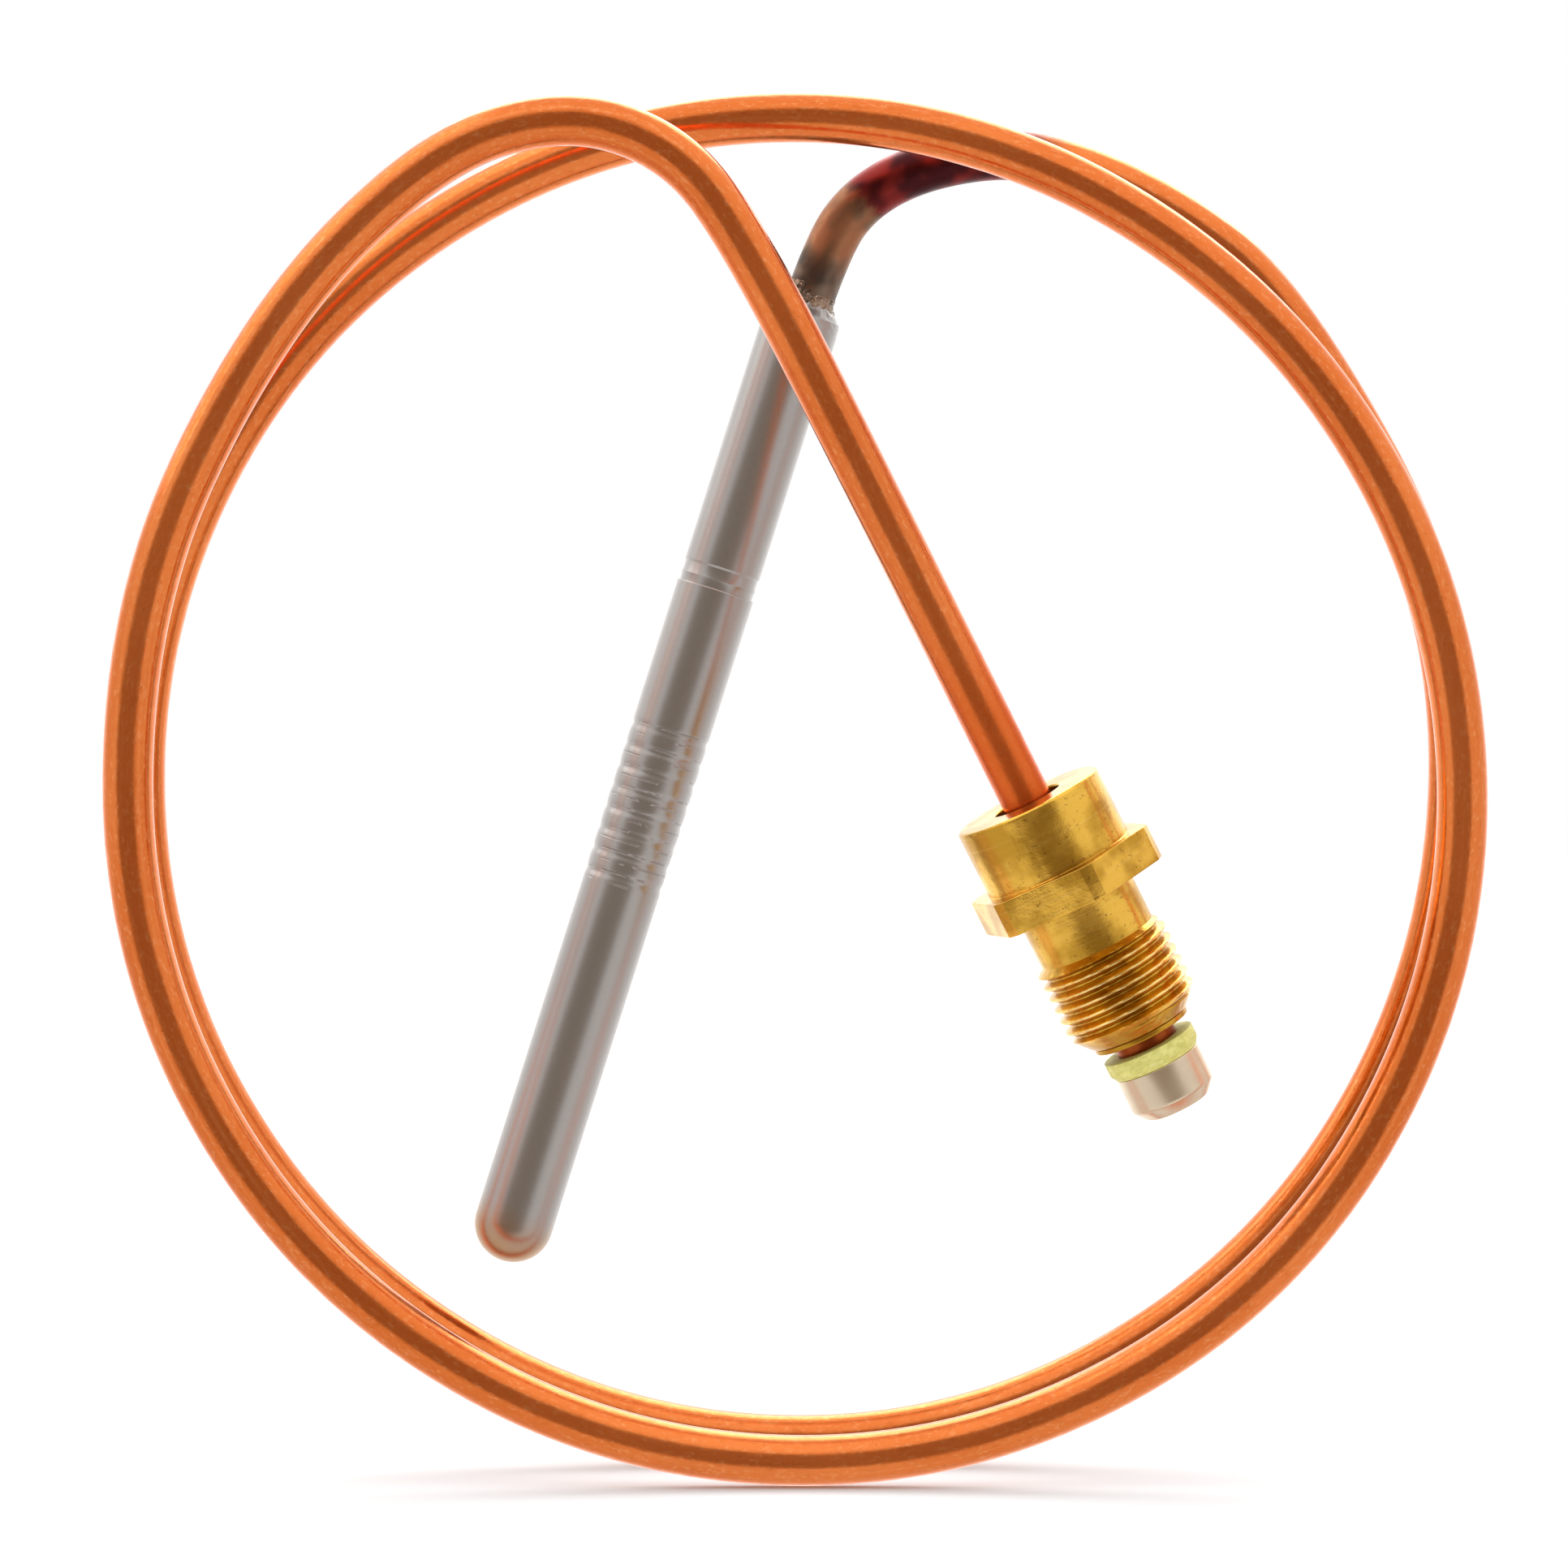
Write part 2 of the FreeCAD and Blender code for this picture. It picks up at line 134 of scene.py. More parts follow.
# Probe, heights from its tip.
PROBE_HEIGHT = 65.0 * MM
SHEATH_RADIUS = 2.55 * MM
SHEATH_BORE = 1.95 * MM
SHEATH_HEIGHT = 45.6 * MM
SHEATH_NOSE = 2.0 * MM
SHEATH_LIP = 0.1 * MM
STAIN_FADES = (2.2 * MM, 5.8 * MM)
STAIN_WANDER = 3 * MM
ROLL_FIRST = 26.0 * MM
ROLL_PITCH = 1.4 * MM
ROLL_COUNT = 8
ROLL_DEPTH = 0.065 * MM
ROLL_UNEVENNESS = 0.7
SHELL_RADIUS = 2.5 * MM
SHELL_BORE = 2.0 * MM
SHELL_FLOOR = 47.0 * MM
SHELL_ROOF = 60.0 * MM
SWAGE_RADIUS = 2.42 * MM
SPIGOT_RADIUS = 1.93 * MM
SPIGOT_BORE = 1.35 * MM
SPIGOT_START = 43.4 * MM
SOCKET_RADIUS = 1.66 * MM
PRESSED_START = PROBE_HEIGHT - 1.6 * MM
PRESSED_RUN = 1.2 * MM
PRESSED_DEPTH = 0.38 * MM
SHOULDER_START = PROBE_HEIGHT - 0.75 * MM
BRAZE_START = 64.65 * MM
BRAZE_END = 66.3 * MM
BRAZE_BORE = 1.4875 * MM
BRAZE_TOP_RADIUS = 1.51 * MM
BRAZE_FLARE = 0.40 * MM

# Connection, distances from the nut's entry face towards the contact.
NUT_BORE = 2.225 * MM
BOSS_RADIUS = 4.825 * MM
BOSS_END = 4.5 * MM
BOSS_FOOT = 0.5 * MM
FOOT_BURR = 0.14 * MM
HEX_APOTHEM = 5.555 * MM
HEX_RADIUS = 6.175 * MM
HEX_END = 6.8 * MM
HEX_TURN = math.radians(14.5)
NECK_RADIUS = 3.85 * MM
NECK_END = 10.05 * MM
THREAD_RADIUS = 4.365 * MM
THREAD_END = 14.9 * MM
THREAD_PITCH = 0.794 * MM
THREAD_DEPTH = 0.487 * MM
THREAD_LEAD_IN = 1.1
THREAD_WEAR = 0.06 * MM
NOSE_RADIUS = 3.3 * MM
NUT_END = 16.1 * MM
NUT_LIP = 0.06 * MM
BURR_SIZE = 0.55 * MM
THREAD_RINGS = 152
RING_START = 16.15 * MM
RING_END = 16.5 * MM
RING_BORE = 2.2 * MM
RING_RADIUS = 3.2 * MM
CAP_START = 12.0 * MM
CAP_FLOOR = 17.0 * MM
CAP_END = 17.3 * MM
CAP_RADIUS = 2.05 * MM
CAP_HOLE = 1.15 * MM
CAP_CHAMFER = 0.15 * MM
WASHER_RADIUS = 3.05 * MM
WASHER_STEP = 18.15 * MM
WASHER_END = 18.56 * MM
CONTACT_RADIUS = 2.8 * MM
CONTACT_BEVEL = 20.9 * MM
CONTACT_END = 21.73 * MM
CONTACT_FACE = 2.1 * MM
CONTACT_BORE = 0.5 * MM
SOLDER_RADIUS = 1.0 * MM
SOLDER_DEPTH = 0.5 * MM
SOLDER_CROWN = 0.1 * MM

# The thread's form, in pitches: where a crest starts, counted from the middle of a root, and how
# long the flank before it is.
THREAD_CREST = 0.445
THREAD_FLANK = 0.385

# Fineness of the meshes.
TURNED_SIDES = 120
NUT_SIDES = 180
ROUND_STEPS = 6
SHARP_ANGLE = math.radians(23)
WELD = 1e-8

# Numbers of a Mix node's colour sockets.
MIX_FIRST = 6
MIX_SECOND = 7
MIX_RESULT = 2

# Camera: level, and about 0.35 m in front of the loop.
CAMERA_DISTANCE = 0.350
CAMERA_ASIDE = -0.0009
CAMERA_WIDTH = 0.0996
SENSOR = 36.0

# Floor: paper painted slightly grey near the loop and nearly white from FLOOR_FADE's end on, which
# evens out the lamps' light as it falls off with distance.
FLOOR_SIZE = 6.0
FLOOR_GAP = 0.02 * MM
FLOOR_FADE = (0.10, 0.60)

# Surround: a tent with a dim opening in front. Its edge is in cosines from its axis, and the
# tent's rises are in the upward and backward parts of a direction.
TENT_LEVEL = 1.0
OPENING_AXIS = Vector((-0.10, -1.0, 0.05)).normalized()
OPENING_COLOUR = (0.385, 0.325, 0.27, 1.0)
OPENING_HEIGHT = 0.75
OPENING_EDGE = (0.67, 0.83)
CEILING_LEVEL = 1.35
CEILING_RISE = (0.15, 0.95)
BACK_LEVEL = 1.5
BACK_RISE = (0.35, 0.90)
WHITE = (1.0, 1.0, 1.0, 1.0)

# Softboxes: name, place from the loop's centre, width, height and power.
SOFTBOXES = [
    ("behind", (0.05, 0.33, 0.36), 0.45, 0.34, 1.15),
    ("upper_left", (-0.42, 0.05, 0.42), 0.50, 0.50, 0.70),
]


# ---- Shapes ---------------------------------------------------------------------------------


def placed(point, axis):
    """The matrix that puts a piece's own origin at a point, and its own Z along an axis."""
    turn = Vector((0, 0, 1)).rotation_difference(axis)
    return Matrix.Translation(point) @ turn.to_matrix().to_4x4()


PROBE_PLACE = placed(LOOP_CENTRE + PROBE_TIP, PROBE_AXIS)
CONNECTION_PLACE = placed(LOOP_CENTRE + NUT_ENTRY, NUT_AXIS)
NUT_PLACE = CONNECTION_PLACE @ Matrix.Rotation(HEX_TURN, 4, "Z")


def loop_point(clock, radius, depth):
    """A control point of the loop, from its centre."""
    angle = math.radians(clock)
    return Vector((radius * math.sin(angle), depth, radius * math.cos(angle)))


def route(from_tip, from_entry):
    """The lead's route, from a height in the probe to a distance along the nut's axis."""
    start = PROBE_TIP + PROBE_AXIS * from_tip
    end = NUT_ENTRY + NUT_AXIS * from_entry
    turns = [loop_point(*turn) for turn in TURNS]
    points = [start, *PROBE_BENDS, *turns, *CONNECTION_BENDS, end]
    return [LOOP_CENTRE + point for point in points]


def smooth_line(points):
    """Points along the NURBS curve that has a route's points as its control points."""
    curve = bpy.data.curves.new("route", "CURVE")
    curve.dimensions = "3D"
    curve.resolution_u = POINTS_PER_RUN
    spline = curve.splines.new("NURBS")
    spline.points.add(len(points) - 1)
    for control, point in zip(spline.points, points):
        control.co = (*point, 1)
    spline.order_u = 3
    spline.use_endpoint_u = True
    holder = bpy.data.objects.new("route", curve)
    mesh = bpy.data.meshes.new_from_object(holder)
    line = [vertex.co.copy() for vertex in mesh.vertices]
    bpy.data.objects.remove(holder)
    bpy.data.curves.remove(curve)
    bpy.data.meshes.remove(mesh)
    return line


def finished_mesh(name, vertices, faces, own, material):
    """An object with smooth faces. The attribute "own" keeps each vertex's place in its own,
    straight piece, so that a material can follow the piece round and along."""
    mesh = bpy.data.meshes.new(name)
    mesh.from_pydata(vertices, [], faces)
    attribute = mesh.attributes.new("own", "FLOAT_VECTOR", "POINT")
    attribute.data.foreach_set("vector", [value for place in own for value in place])
    tidy = bmesh.new()
    tidy.from_mesh(mesh)
    bmesh.ops.remove_doubles(tidy, verts=tidy.verts, dist=WELD)
    bmesh.ops.recalc_face_normals(tidy, faces=tidy.faces)
    tidy.to_mesh(mesh)
    tidy.free()
    mesh.shade_smooth()
    mesh.set_sharp_from_angle(angle=SHARP_ANGLE)
    mesh.materials.append(material)
    piece = bpy.data.objects.new(name, mesh)
    bpy.context.scene.collection.objects.link(piece)
    weighted = piece.modifiers.new("weighted", "WEIGHTED_NORMAL")
    weighted.keep_sharp = True
    return piece


def evenly(start, end, steps):
    """Values from start to end in even steps, with both ends."""
    return [start + (end - start) * step / steps for step in range(steps + 1)]


def joined_rings(count, sides, closed):
    """Faces between neighbouring rings of vertices, and back to the first ring if closed."""
    faces = []
    for ring in range(count if closed else count - 1):
        after = (ring + 1) % count
        for side in range(sides):
            beside = (side + 1) % sides
            faces.append(
                (
                    ring * sides + side,
                    ring * sides + beside,
                    after * sides + beside,
                    after * sides + side,
                )
            )
    return faces


def eased(outline, amounts):
    """A closed outline with each corner rounded, by its own amount or by one for them all."""
    points = [Vector(point) for point in outline]
    if not isinstance(amounts, (list, tuple)):
        amounts = [amounts] * len(points)
    before = points[-1:] + points[:-1]
    after = points[1:] + points[:1]
    result = []
    for previous, point, following, amount in zip(before, points, after, amounts):
        back = previous - point
        ahead = following - point
        reach = min(amount, 0.45 * back.length, 0.45 * ahead.length)
        start = point + back.normalized() * reach
        end = point + ahead.normalized() * reach
        for step in range(ROUND_STEPS + 1):
            share = step / ROUND_STEPS
            result.append(start.lerp(point, share).lerp(point.lerp(end, share), share))
    return result


def lathe(name, place, outline, material, sides=TURNED_SIDES, shape=None):
    """Turn a closed outline of (radius, height) about a place's Z. shape(angle, radius, height)
    gives the radius instead, where the piece isn't round."""
    own = []
    for radius, height in outline:
        for side in range(sides):
            angle = math.tau * side / sides
            reach = shape(angle, radius, height) if shape else radius
            own.append(Vector((reach * math.cos(angle), reach * math.sin(angle), height)))
    faces = joined_rings(len(outline), sides, closed=True)
    vertices = [place @ point for point in own]
    return finished_mesh(name, vertices, faces, own, material)


def noise_place(angle, size, height, pitch):
    """A place in the noise for a point on a round piece, so that the noise meets itself."""
    return Vector((math.cos(angle) * size, math.sin(angle) * size, height / pitch))


def cross_frames(line):
    """At each point of a line: the distance so far, and two directions across it."""
    frames = []
    distance = 0.0
    along = (line[1] - line[0]).normalized()
    across = along.orthogonal().normalized()
    for before, point, after in zip(line[:1] + line[:-1], line, line[1:] + line[-1:]):
        ahead = (after - before).normalized()
        across = along.rotation_difference(ahead) @ across
        across = (across - ahead * across.dot(ahead)).normalized()
        along = ahead
        distance += (point - before).length
        frames.append((distance, across, along.cross(across)))
    return frames


def swept_tube(name, line, outer, bore, sides, material):
    """A round tube along a line, hollow where it has a bore."""
    vertices = []
    own = []
    frames = cross_frames(line)
    stations = [(point, directions, outer / 2) for point, directions in zip(line, frames)]
    if bore:
        inside = [(point, directions, bore / 2) for point, directions in zip(line, frames)]
        stations += reversed(inside)
    else:
        stations = [(line[0], frames[0], 0.0), *stations, (line[-1], frames[-1], 0.0)]
    for point, (distance, across, over), radius in stations:
        for side in range(sides):
            angle = math.tau * side / sides
            right = radius * math.cos(angle)
            up = radius * math.sin(angle)
            vertices.append(point + across * right + over * up)
            own.append(Vector((right, up, distance)))
    faces = joined_rings(len(stations), sides, closed=bool(bore))
    return finished_mesh(name, vertices, faces, own, material)


# ---- Materials ------------------------------------------------------------------------------


class Nodes:
    """A node tree, with short calls for the nodes that are used often."""

    def __init__(self, tree):
        self.tree = tree

    def node(self, kind, inputs=(), **settings):
        """A node whose inputs are sockets or plain values. Returns its first output."""
        made = self.tree.nodes.new("ShaderNode" + kind)
        for setting, value in settings.items():
            setattr(made, setting, value)
        for socket, value in dict(inputs).items():
            self.connect(value, made.inputs[socket])
        return made.outputs[0]

    def connect(self, value, socket):
        if isinstance(value, bpy.types.NodeSocket):
            self.tree.links.new(value, socket)
        else:
            socket.default_value = value

    def stretched(self, place, scale):
        return self.node("VectorMath", {0: place, 1: scale}, operation="MULTIPLY")

    def between(self, value, low, high, to_low=0.0, to_high=1.0):
        """A value carried from one range to another, smoothly and without passing its ends."""
        inputs = {0: value, 1: low, 2: high, 3: to_low, 4: to_high}
        return self.node("MapRange", inputs, interpolation_type="SMOOTHSTEP")

    def math(self, operation, first, second):
        return self.node("Math", {0: first, 1: second}, operation=operation)

    def length(self, vector):
        return self.node("VectorMath", {0: vector}, operation="LENGTH").node.outputs["Value"]

    def mix(self, factor, first, second):
        inputs = {"Factor": factor, MIX_FIRST: first, MIX_SECOND: second}
        return self.node("Mix", inputs, data_type="RGBA").node.outputs[MIX_RESULT]


class Material(Nodes):
    """A Principled material, with short calls for what these finishes share."""

    def __init__(self, name, **settings):
        self.data = bpy.data.materials.new(name)
        self.data.use_nodes = True
        super().__init__(self.data.node_tree)
        self.surface = self.tree.nodes["Principled BSDF"]
        for socket, value in settings.items():
            self.surface.inputs[socket.replace("_", " ")].default_value = value

    def own_place(self):
        return self.node("Attribute", attribute_name="own").node.outputs["Vector"]

    def object_place(self):
        return self.node("TexCoord").node.outputs["Object"]

    def noise(self, place, scale, detail=3.0, roughness=0.55):
        """Noise whose features are about 1 / scale metres along each axis of scale."""
        inputs = {"Vector": self.stretched(place, scale), "Scale": 1.0}
        inputs.update({"Detail": detail, "Roughness": roughness})
        return self.node("TexNoise", inputs)

    def bump(self, height, distance, under=None):
        inputs = {"Height": height, "Distance": distance, "Strength": 1.0}
        if under is not None:
            inputs["Normal"] = under
        return self.node("Bump", inputs)

    def finish(self, tone, roughness, normal):
        self.connect(tone, self.surface.inputs["Base Color"])
        self.connect(roughness, self.surface.inputs["Roughness"])
        self.connect(normal, self.surface.inputs["Normal"])
        return self.data


def colour(red, green, blue):
    return (red, green, blue, 1.0)


def cells(*per_millimetre):
    """Noise cells per millimetre along X, Y and Z, as cells per metre."""
    return tuple(count / MM for count in per_millimetre)


def along_piece(material):
    """How far along its own piece a point is, in metres."""
    return material.node("SeparateXYZ", {0: material.own_place()}).node.outputs["Z"]


def copper_lead():
    """Drawn copper, with draw lines, handling marks, and heat tint where it was brazed."""
    made = Material("copper_lead", Metallic=0.9, Specular_IOR_Level=0.3)
    place = made.own_place()
    draw_lines = made.noise(place, cells(2.2, 2.2, 0.03), detail=4.0)
    cloud = made.noise(place, cells(0.22, 0.22, 0.05))
    marks = made.noise(place, cells(1.4, 1.4, 0.9), detail=5.0, roughness=0.7)
    pits = made.noise(place, cells(5.5, 5.5, 4.0), detail=3.0)
    grain = made.noise(place, cells(4.0, 4.0, 2.0), detail=4.0, roughness=0.7)
    bright = colour(0.76, 0.195, 0.045)
    deep = colour(0.66, 0.150, 0.030)
    metal = made.mix(made.between(cloud, 0.35, 0.65), bright, deep)
    metal = made.mix(made.between(draw_lines, 0.50, 0.74, 0, 0.45), metal, colour(0.82, 0.27, 0.085))
    metal = made.mix(made.between(grain, 0.50, 0.70, 0, 0.35), metal, colour(0.90, 0.40, 0.17))
    metal = made.mix(made.between(marks, 0.56, 0.74, 0, 0.45), metal, colour(0.52, 0.10, 0.015))
    metal = made.mix(made.between(pits, 0.66, 0.74, 0, 0.5), metal, colour(0.30, 0.06, 0.01))
    # Before the nut the copper is duller as worked metal. It is also darker and redder, partly as
    # worked metal and partly as painted shade of the nut.
    worked_and_shaded = made.between(along_piece(made), *WORKED_AND_SHADED_ZONE)
    metal = made.mix(made.math("MULTIPLY", worked_and_shaded, 0.8), metal, colour(0.66, 0.115, 0.018))

    wander = made.noise(place, cells(0.5, 0.5, 0.35), detail=4.0)
    drift = {0: wander, 1: TINT_WANDER, 2: -TINT_WANDER / 2}
    drifted = made.node("Math", drift, operation="MULTIPLY_ADD")
    run = made.math("ADD", along_piece(made), drifted)
    blotch = made.between(made.noise(place, cells(0.35, 0.35, 0.3), detail=2.0), 0.42, 0.62)
    red = made.mix(blotch, colour(0.23, 0.024, 0.020), colour(0.055, 0.009, 0.011))
    brown = made.mix(blotch, colour(0.34, 0.145, 0.07), colour(0.19, 0.10, 0.055))
    grey = made.mix(blotch, colour(0.20, 0.14, 0.10), colour(0.06, 0.045, 0.035))
    metal = made.mix(made.between(run, *RED_FADES), red, metal)
    metal = made.mix(made.between(run, *BROWN_FADES), brown, metal)
    metal = made.mix(made.between(run, *GREY_FADES), grey, metal)

    scuffed = made.between(marks, 0.35, 0.70, 0.12, 0.26)
    burnt = made.between(run, *DULL_FADES, 0.26, 0.0)
    dulled = made.math("MAXIMUM", burnt, made.math("MULTIPLY", worked_and_shaded, 0.10))
    roughness = made.math("ADD", scuffed, dulled)
    dents = made.noise(place, cells(0.50, 0.50, 0.22), detail=1.0)
    normal = made.bump(dents, 0.028 * MM)
    normal = made.bump(draw_lines, 0.0045 * MM, normal)
    normal = made.bump(marks, 0.0100 * MM, normal)
    normal = made.bump(grain, 0.0035 * MM, normal)
    return made.finish(metal, roughness, normal)


def satin_steel():
    """Drawn stainless steel, satin, with broken lines where it is rolled, and a heat-stained
    tip."""
    made = Material("satin_steel", Metallic=1.0)
    place = made.own_place()
    height = along_piece(made)
    grain = made.noise(place, cells(9, 9, 7), detail=3.0)
    streaks = made.noise(place, cells(0.9, 0.9, 0.03), detail=4.0)
    cloud = made.noise(place, cells(0.3, 0.3, 0.10))
    metal = made.mix(cloud, colour(0.43, 0.395, 0.375), colour(0.365, 0.345, 0.33))
    metal = made.mix(made.between(streaks, 0.54, 0.76, 0, 0.4), metal, colour(0.45, 0.37, 0.31))
    metal = made.mix(made.between(grain, 0.62, 0.75, 0, 0.25), metal, colour(0.22, 0.19, 0.17))
    stained = made.math("ADD", height, made.math("MULTIPLY", cloud, STAIN_WANDER))
    metal = made.mix(made.between(stained, *STAIN_FADES), colour(0.46, 0.27, 0.15), metal)
    roughness = made.between(grain, 0.3, 0.7, 0.29, 0.36)
    last_roll = ROLL_FIRST + (ROLL_COUNT - 1) * ROLL_PITCH
    outer = 0.6 * ROLL_PITCH
    inner = 0.4 * ROLL_PITCH
    rolled_from = made.between(height, ROLL_FIRST - outer, ROLL_FIRST - inner)
    rolled_to = made.between(height, last_roll + inner, last_roll + outer, 1, 0)
    rolled = made.math("MULTIPLY", rolled_from, rolled_to)
    from_first = made.math("SUBTRACT", height, ROLL_FIRST)
    phase = made.math("MULTIPLY", from_first, math.tau * 2 / ROLL_PITCH)
    lines = made.between(made.math("SINE", phase, 0.0), 0.80, 0.99)
    broken = made.between(made.noise(place, cells(0.75, 0.75, 1.4), detail=2.0), 0.45, 0.62)
    cuts = made.math("MULTIPLY", made.math("MULTIPLY", lines, broken), rolled)
    metal = made.mix(made.math("MULTIPLY", cuts, 0.30), metal, colour(0.16, 0.13, 0.11))
    normal = made.bump(grain, 0.0010 * MM)
    normal = made.bump(cuts, -0.040 * MM, normal)
    return made.finish(metal, roughness, normal)


def brazed_joint():
    """Braze metal, rough and dulled by heat, with bright and dark specks."""
    made = Material("brazed_joint", Metallic=1.0)
    place = made.own_place()
    lumps = made.noise(place, cells(1.6, 1.6, 1.6), detail=5.0, roughness=0.65)
    specks = made.noise(place, cells(5, 5, 5), detail=2.0)
    pale = colour(0.34, 0.25, 0.18)
    dark = colour(0.07, 0.05, 0.035)
    metal = made.mix(made.between(lumps, 0.35, 0.65), pale, dark)
    metal = made.mix(made.between(specks, 0.60, 0.70), metal, colour(0.62, 0.42, 0.28))
    normal = made.bump(lumps, 0.12 * MM)
    return made.finish(metal, made.between(lumps, 0.3, 0.7, 0.28, 0.55), normal)


def turned_brass():
    """Turned brass: lathe rings, dull patches, nicks, and on the thread painted shade in its roots
    and painted highlights on its crests.
    """
    made = Material("turned_brass", Metallic=1.0)
    place = made.own_place()
    rings = made.noise(place, cells(0.12, 0.12, 7.0), detail=4.0, roughness=0.6)
    patches = made.noise(place, cells(0.34, 0.34, 0.34), detail=3.0, roughness=0.5)
    nicks = made.noise(place, cells(2.2, 2.2, 3.0), detail=4.0, roughness=0.7)
    bright = colour(0.80, 0.46, 0.068)
    dull = colour(0.52, 0.275, 0.03)
    metal = made.mix(made.between(patches, 0.42, 0.62), bright, dull)
    metal = made.mix(made.between(rings, 0.50, 0.78, 0, 0.2), metal, colour(0.90, 0.66, 0.24))
    metal = made.mix(made.between(nicks, 0.58, 0.68, 0, 0.7), metal, colour(0.30, 0.15, 0.02))
    flat = made.stretched(place, (1.0, 1.0, 0.0))
    from_axis = made.length(flat)
    in_thread = made.between(along_piece(made), NECK_END, NECK_END + 0.4 * MM)
    root_radius = THREAD_RADIUS - THREAD_DEPTH
    # Painted shade: the thread's roots are darkened in colour.
    root = made.between(from_axis, root_radius, THREAD_RADIUS - 0.25 * THREAD_DEPTH, 0.6, 0.0)
    metal = made.mix(made.math("MULTIPLY", root, in_thread), metal, colour(0.42, 0.20, 0.016))
    # Painted highlight: the thread's crests are lightened in colour.
    crest = made.between(from_axis, THREAD_RADIUS - 0.12 * THREAD_DEPTH, THREAD_RADIUS, 0.0, 0.7)
    metal = made.mix(made.math("MULTIPLY", crest, in_thread), metal, colour(0.95, 0.74, 0.34))
    roughness = made.between(patches, 0.3, 0.7, 0.16, 0.27)
    normal = made.bump(rings, 0.008 * MM)
    normal = made.bump(patches, 0.06 * MM, normal)
    normal = made.bump(nicks, 0.018 * MM, normal)
    return made.finish(metal, roughness, normal)


def crimped_copper():
    """The end cap: copper painted dark as shade, blotched, with crimping marks round it."""
    made = Material("crimped_copper", Metallic=1.0)
    place = made.own_place()
    rings = made.noise(place, cells(0.2, 0.2, 4.0), detail=4.0)
    blotch = made.noise(place, cells(0.8, 0.8, 0.8), detail=4.0)
    # Painted shade: both tones are far darker than the lead's copper.
    metal = made.mix(blotch, colour(0.40, 0.085, 0.016), colour(0.15, 0.026, 0.007))
    normal = made.bump(rings, 0.02 * MM)
    return made.finish(metal, made.between(blotch, 0.3, 0.7, 0.2, 0.4), normal)


def fibre_board():
    """Resin-bonded fibre, pale yellow-green, with fibres showing at its edge."""
    made = Material("fibre_board", Specular_IOR_Level=0.4)
    place = made.own_place()
    layers = made.noise(place, cells(0.5, 0.5, 4.5), detail=4.0, roughness=0.65)
    mottle = made.noise(place, cells(1.3, 1.3, 2.0), detail=5.0, roughness=0.7)
    pale = colour(0.78, 0.74, 0.24)
    deep = colour(0.62, 0.57, 0.14)
    board = made.mix(made.between(mottle, 0.35, 0.65), pale, deep)
    board = made.mix(made.between(layers, 0.55, 0.75, 0, 0.7), board, colour(0.86, 0.84, 0.46))
    normal = made.bump(mottle, 0.03 * MM)
    normal = made.bump(layers, 0.03 * MM, normal)
    return made.finish(board, made.between(layers, 0.3, 0.7, 0.45, 0.7), normal)


def tinned_contact():
    """The contact: turned brass under a thin, warm-white tin plate."""
    made = Material("tinned_contact", Metallic=1.0)
    place = made.own_place()
    rings = made.noise(place, cells(0.1, 0.1, 9.0), detail=3.0)
    cloud = made.noise(place, cells(0.5, 0.5, 0.5), detail=4.0)
    metal = made.mix(cloud, colour(0.76, 0.62, 0.45), colour(0.60, 0.49, 0.35))
    metal = made.mix(made.between(rings, 0.55, 0.75, 0, 0.25), metal, colour(0.80, 0.68, 0.50))
    normal = made.bump(rings, 0.003 * MM)
    return made.finish(metal, made.between(cloud, 0.3, 0.7, 0.26, 0.36), normal)


def woven_glass():
    """Woven glass fibre: fine crossing strands round the lead's wire."""
    made = Material("woven_glass", Sheen_Weight=0.3)
    place = made.own_place()
    strands = made.noise(place, cells(2.0, 2.0, 6.0), detail=4.0, roughness=0.7)
    threads = made.noise(place, cells(6.0, 6.0, 2.5), detail=3.0)
    weave = made.math("MULTIPLY", strands, threads)
    hollow = colour(0.55, 0.52, 0.44)
    raised = colour(0.84, 0.81, 0.72)
    cloth = made.mix(made.between(weave, 0.15, 0.35), hollow, raised)
    roughness = made.between(weave, 0.1, 0.4, 0.9, 0.7)
    return made.finish(cloth, roughness, made.bump(weave, 0.08 * MM))


def inner_finish(name, light, dark, grain, roughness, metallic, relief):
    """A finish for a CAD piece inside the others: two tones, mottled, with a slight relief."""
    made = Material(name, Metallic=metallic)
    place = made.object_place()
    coarse = made.noise(place, cells(grain, grain, grain), detail=4.0)
    fine = made.noise(place, cells(grain * 5, grain * 5, grain * 5), detail=2.0)
    tone = made.mix(made.between(coarse, 0.35, 0.65), light, dark)
    tone = made.mix(made.between(fine, 0.58, 0.72, 0, 0.4), tone, dark)
    gloss = made.between(coarse, 0.3, 0.7, roughness - 0.06, roughness + 0.08)
    return made.finish(tone, gloss, made.bump(fine, relief))


